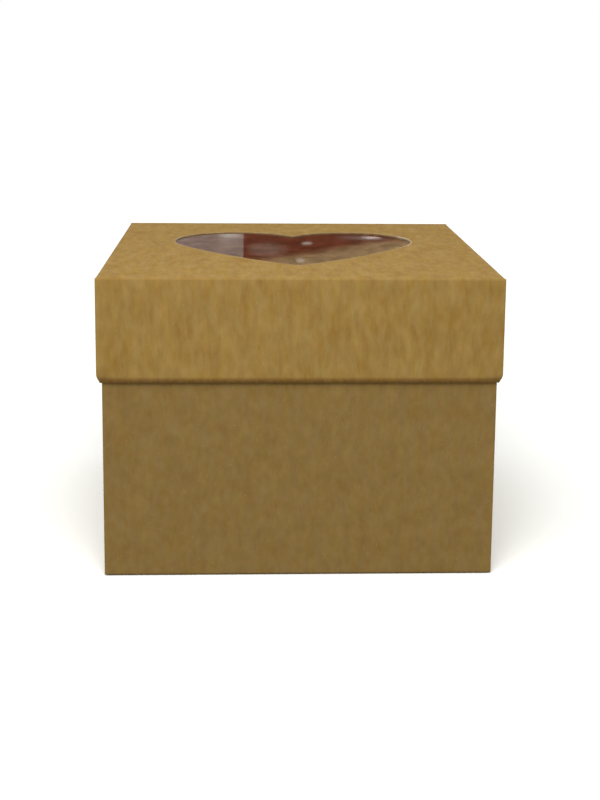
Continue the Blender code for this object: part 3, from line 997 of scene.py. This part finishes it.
def reflected_room():
    """What the film mirrors in the photograph. It glows, and shows in nothing but reflections."""
    mesh = bpy.data.meshes.new("reflected_room")
    left, right = -ROOM_HALF_WIDTH, ROOM_HALF_WIDTH
    outline = ((left, ROOM_LOW), (right, ROOM_LOW), (right, ROOM_HIGH), (left, ROOM_HIGH))
    corners = [(x, ROOM_DISTANCE, z) for x, z in outline]
    mesh.from_pydata(corners, [], [(0, 1, 2, 3)])
    material = new_material("reflected_room")
    tree = material.node_tree
    place = add(tree, "ShaderNodeTexCoord").outputs["Object"]
    shader = add(tree, "ShaderNodeEmission", {"Color": room_glow(tree, place)})
    add(tree, "ShaderNodeOutputMaterial", {"Surface": shader.outputs["Emission"]})
    panel = new_piece("reflected_room", mesh, material)
    panel.visible_camera = False
    panel.visible_diffuse = False
    panel.visible_transmission = False
    panel.visible_volume_scatter = False
    panel.visible_shadow = False


def studio_floor():
    """A white floor: a plain paper white for the camera, which keeps the shadow, and greyer in its bounce."""
    mesh = bpy.data.meshes.new("studio_floor")
    reach = FLOOR_SIZE / 2
    corners = [(-reach, -reach, FLOOR_HEIGHT), (reach, -reach, FLOOR_HEIGHT)]
    corners += [(reach, reach, FLOOR_HEIGHT), (-reach, reach, FLOOR_HEIGHT)]
    mesh.from_pydata(corners, [], [(0, 1, 2, 3)])
    material = new_material("floor_paper")
    tree = material.node_tree
    seen = add(tree, "ShaderNodeLightPath").outputs["Is Camera Ray"]
    paper = add(tree, "ShaderNodeBsdfDiffuse", {
        "Color": blend(tree, seen, (*[FLOOR_BOUNCE] * 3, 1.0), (*[FLOOR_WHITE] * 3, 1.0)),
    })
    add(tree, "ShaderNodeOutputMaterial", {"Surface": paper.outputs["BSDF"]})
    new_piece("studio_floor", mesh, material)


def studio_air():
    """The world: white to the eye and in reflections, and a dim even fill on the object."""
    world = bpy.data.worlds.new("studio_air")
    bpy.context.scene.world = world
    world.use_nodes = True
    tree = world.node_tree
    tree.nodes.clear()
    path = add(tree, "ShaderNodeLightPath").outputs
    seen = maths(tree, "MAXIMUM", path["Is Camera Ray"], path["Is Glossy Ray"])
    seen = maths(tree, "MAXIMUM", seen, path["Is Transmission Ray"])
    strength = maths(tree, "MULTIPLY_ADD", seen, 1.0 - FILL_STRENGTH, FILL_STRENGTH)
    glow = add(tree, "ShaderNodeBackground", {"Color": (1.0, 1.0, 1.0, 1.0), "Strength": strength})
    add(tree, "ShaderNodeOutputWorld", {"Surface": glow.outputs["Background"]})


def key_light():
    """One soft distant light above the front of the box, a little to the left, even over the whole floor."""
    data = bpy.data.lights.new("key_light", "SUN")
    data.energy = KEY_STRENGTH
    data.color = KEY_TINT
    data.angle = KEY_SOFTNESS
    lamp = bpy.data.objects.new("key_light", data)
    level = math.cos(KEY_RISE)
    back = Vector((-math.sin(KEY_TURN) * level, -math.cos(KEY_TURN) * level, math.sin(KEY_RISE)))
    lamp.location = back
    lamp.rotation_euler = back.to_track_quat("Z", "Y").to_euler()
    bpy.context.scene.collection.objects.link(lamp)


def near_light():
    """A smaller soft light close in front, which fades towards the back of the lid."""
    data = bpy.data.lights.new("near_light", "AREA")
    data.shape = "SQUARE"
    data.size = NEAR_SIZE
    data.energy = NEAR_POWER
    lamp = bpy.data.objects.new("near_light", data)
    lamp.location = NEAR_PLACE
    lamp.rotation_euler = (Vector(NEAR_PLACE) - Vector(NEAR_AIM)).to_track_quat("Z", "Y").to_euler()
    bpy.context.scene.collection.objects.link(lamp)


def photo_camera():
    """The camera where the photograph was taken from."""
    data = bpy.data.cameras.new("photo_camera")
    data.sensor_width = CAMERA_SENSOR
    data.lens = CAMERA_LENS
    data.shift_y = CAMERA_SHIFT_Y
    data.clip_start = CAMERA_NEAREST
    camera = bpy.data.objects.new("photo_camera", data)
    level = math.cos(CAMERA_PITCH)
    forward = Vector((math.sin(CAMERA_YAW) * level, math.cos(CAMERA_YAW) * level, -math.sin(CAMERA_PITCH)))
    right = Vector((math.cos(CAMERA_YAW), -math.sin(CAMERA_YAW), 0.0))
    turned = Matrix.Rotation(-CAMERA_ROLL, 3, forward)
    axes = Matrix((turned @ right, turned @ right.cross(forward), -forward)).transposed()
    camera.matrix_world = Matrix.Translation(CAMERA_PLACE) @ axes.to_4x4()
    bpy.context.scene.collection.objects.link(camera)
    bpy.context.scene.camera = camera


def walls(tray):
    for quarter in range(4):
        tray.add_wall(quarter, covers=quarter % 2 == 0)


def scattered_fibres(name, skin, tree, seed, finish):
    """Loose fibres over the outer skin of a board, as one piece."""
    piece = new_piece(name, skin)
    return grown(piece, tree, Density=FIBRE_DENSITY, Length=FIBRE_LENGTH, Width=FIBRE_WIDTH, Seed=seed,
                 Finish=finish)


def tray_nodes(body, panel):
    """The CAD nodes that one folded board stands for."""
    names = [panel]
    for side in ("front", "right", "back", "left"):
        names += [f"{body}_{side}_wall", f"{body}_{side}_lining"]
    for side in ("front", "back"):
        names += [f"{body}_{side}_left_flap", f"{body}_{side}_right_flap"]
    return names


# The two folded boards
cut_edge = cut_board("kraft_cut_edge", CUT_COLOUR)
lid_kraft = kraft_board("kraft_lid", LID_COLOUR, LID_CONTRAST, LID_STREAKS, LID_PATTERN_PLACE)
base_kraft = kraft_board("kraft_base", BASE_COLOUR_WITH_PAINTED_SHADE, BASE_CONTRAST, BASE_STREAKS, BASE_PATTERN_PLACE)
heart = heart_outline()

lid = Tray(LID_WIDTH, LID_WIDTH, LID_HEIGHT, LID_FLAP_LENGTH, LID_BOW, turned_over, LID_SEED)
walls(lid)
lid.add_panel(opening=heart)
lid_board, lid_skin = lid.pieces("lid_board", lid_kraft, cut_edge, Vector((0, 0, 1)))

base = Tray(BASE_WIDTH, BASE_WIDTH, BASE_HEIGHT, BASE_FLAP_LENGTH, BASE_BOW, upright, BASE_SEED)
walls(base)
base.add_panel()
base_board, base_skin = base.pieces("base_board", base_kraft, cut_edge, Vector((0, 0, -1)))

# Fibres pressed into them
fibre_tree = pressed_fibres_tree()
fibre_finish = loose_fibre("loose_fibre", FIBRE_DARK, FIBRE_PALE)
lid_fibres = scattered_fibres("lid_fibres", lid_skin, fibre_tree, LID_FIBRE_SEED, fibre_finish)
base_fibres = scattered_fibres("base_fibres", base_skin, fibre_tree, BASE_FIBRE_SEED, fibre_finish)

# The window: its film, the glue that holds it, and the fibres raised along the cut
bead_tree = swept_bead_tree()
film = film_sheet(lid, clear_sheet("clear_film"))

glue_low, glue_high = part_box("window_glue")
inset = Vector((GLUE_WIDTH / 2, GLUE_WIDTH / 2, 0))
ring = rounded_ring(glue_low + inset, glue_high - inset, GLUE_CORNER, GLUE_CORNER_STEPS)
glue = closed_line("glue_bead", ring, TOP_HIGH.z - BOARD - GLUE_HEIGHT / 2)
glue = grown(glue, bead_tree, Width=GLUE_WIDTH, Height=GLUE_HEIGHT, Unevenness=GLUE_UNEVENNESS,
             Lump_length=GLUE_LUMP_LENGTH, Finish=dried_glue("dry_glue"))
hung_under(lid, glue)

lip = closed_line("window_lip", outset(heart, LIP_WIDTH * LIP_SET_BACK), TOP_HIGH.z)
lip = grown(lip, bead_tree, Width=LIP_WIDTH, Height=LIP_HEIGHT, Unevenness=LIP_UNEVENNESS,
            Lump_length=LIP_LUMP_LENGTH, Finish=cut_board("raised_fibres", LIP_COLOUR))
hung_under(lid, lip)

for piece, body, finish, nodes in (
    (lid_board, "lid", "kraft_lid", tray_nodes("lid", "lid_top_panel")),
    (lid_fibres, "lid", "kraft_lid", []),
    (lip, "lid", "kraft_lid", []),
    (film, "lid", "clear_film", ["window_film"]),
    (glue, "lid", "dry_glue", ["window_glue"]),
    (base_board, "base", "kraft_base", tray_nodes("base", "base_floor")),
    (base_fibres, "base", "kraft_base", []),
):
    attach(piece, body)
    if nodes:
        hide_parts(*nodes)

studio_floor()
studio_air()
key_light()
near_light()
reflected_room()
photo_camera()
bpy.context.scene.view_settings.view_transform = "Standard"
